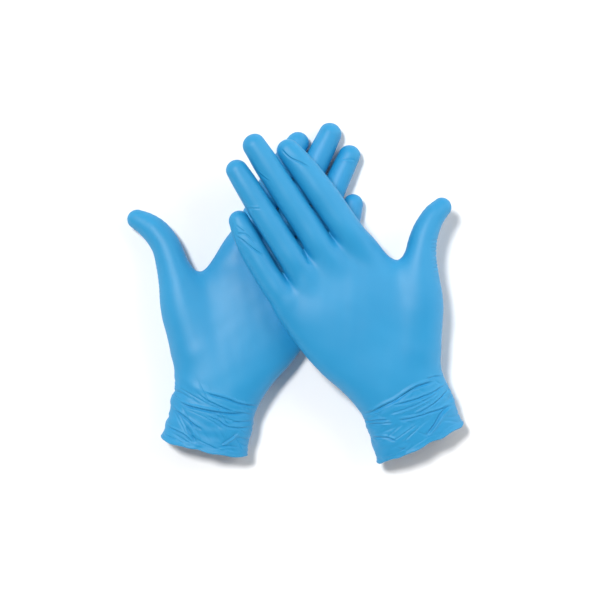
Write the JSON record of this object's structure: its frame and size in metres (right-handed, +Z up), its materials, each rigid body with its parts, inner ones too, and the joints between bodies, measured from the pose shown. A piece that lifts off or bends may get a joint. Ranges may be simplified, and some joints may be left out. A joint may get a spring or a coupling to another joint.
{
  "type": "pair of disposable nitrile gloves",
  "caption": "Blue disposable nitrile gloves lying crossed with their palms up, hollow and open at the cuffs, with fingers and thumbs that bend.",
  "frame": {"origin": "middle of the pair's box at the height of the surface that it lies on", "axes": "+Z up out of the palms, +Y towards the fingertips, +X from the lower glove's thumb to the upper glove's thumb"},
  "size_m": [0.2294, 0.2328, 0.0528],
  "materials": {
    "nitrile_film": "satin"
  },
  "bodies": {
    "lower_glove": {"lower_cuff": "nitrile_film", "lower_rolled_rim": "nitrile_film", "lower_palm": "nitrile_film", "lower_index_stall": "nitrile_film", "lower_middle_stall": "nitrile_film", "lower_ring_stall": "nitrile_film", "lower_little_stall": "nitrile_film"},
    "lower_thumb": {"lower_thumb_stall": "nitrile_film"},
    "upper_glove": {"upper_cuff": "nitrile_film", "upper_rolled_rim": "nitrile_film", "upper_palm": "nitrile_film"},
    "upper_thumb": {"upper_thumb_stall": "nitrile_film"},
    "upper_index": {"upper_index_stall": "nitrile_film"},
    "upper_middle": {"upper_middle_stall": "nitrile_film"},
    "upper_ring": {"upper_ring_stall": "nitrile_film"},
    "upper_little": {"upper_little_stall": "nitrile_film"}
  },
  "joints": [
    {"name": "upper_glove_lift", "type": "slide", "parent": "lower_glove", "child": "upper_glove", "axis": [0, 0, 1], "range_m": [0, 0.1]},
    {"name": "lower_thumb_flex", "type": "hinge", "parent": "lower_glove", "child": "lower_thumb", "pos_m": [-0.08409, 0.02115, 0.01204], "axis": [0.9573, 0.289, 0], "range_deg": [0, 45]},
    {"name": "upper_thumb_flex", "type": "hinge", "parent": "upper_glove", "child": "upper_thumb", "pos_m": [0.08566, 0.029, 0.02838], "axis": [0.9821, -0.0708, -0.1747], "range_deg": [0, 45]},
    {"name": "upper_index_flex", "type": "hinge", "parent": "upper_glove", "child": "upper_index", "pos_m": [0.02522, 0.05509, 0.039], "axis": [0.8024, 0.593, -0.067], "range_deg": [0, 65]},
    {"name": "upper_middle_flex", "type": "hinge", "parent": "upper_glove", "child": "upper_middle", "pos_m": [0.00784, 0.04478, 0.04046], "axis": [0.8347, 0.5452, -0.0781], "range_deg": [0, 65]},
    {"name": "upper_ring_flex", "type": "hinge", "parent": "upper_glove", "child": "upper_ring", "pos_m": [-0.00813, 0.03193, 0.04112], "axis": [0.8436, 0.5308, -0.0813], "range_deg": [0, 65]},
    {"name": "upper_little_flex", "type": "hinge", "parent": "upper_glove", "child": "upper_little", "pos_m": [-0.0209, 0.01765, 0.0407], "axis": [0.8683, 0.4877, -0.0905], "range_deg": [0, 65]}
  ]
}
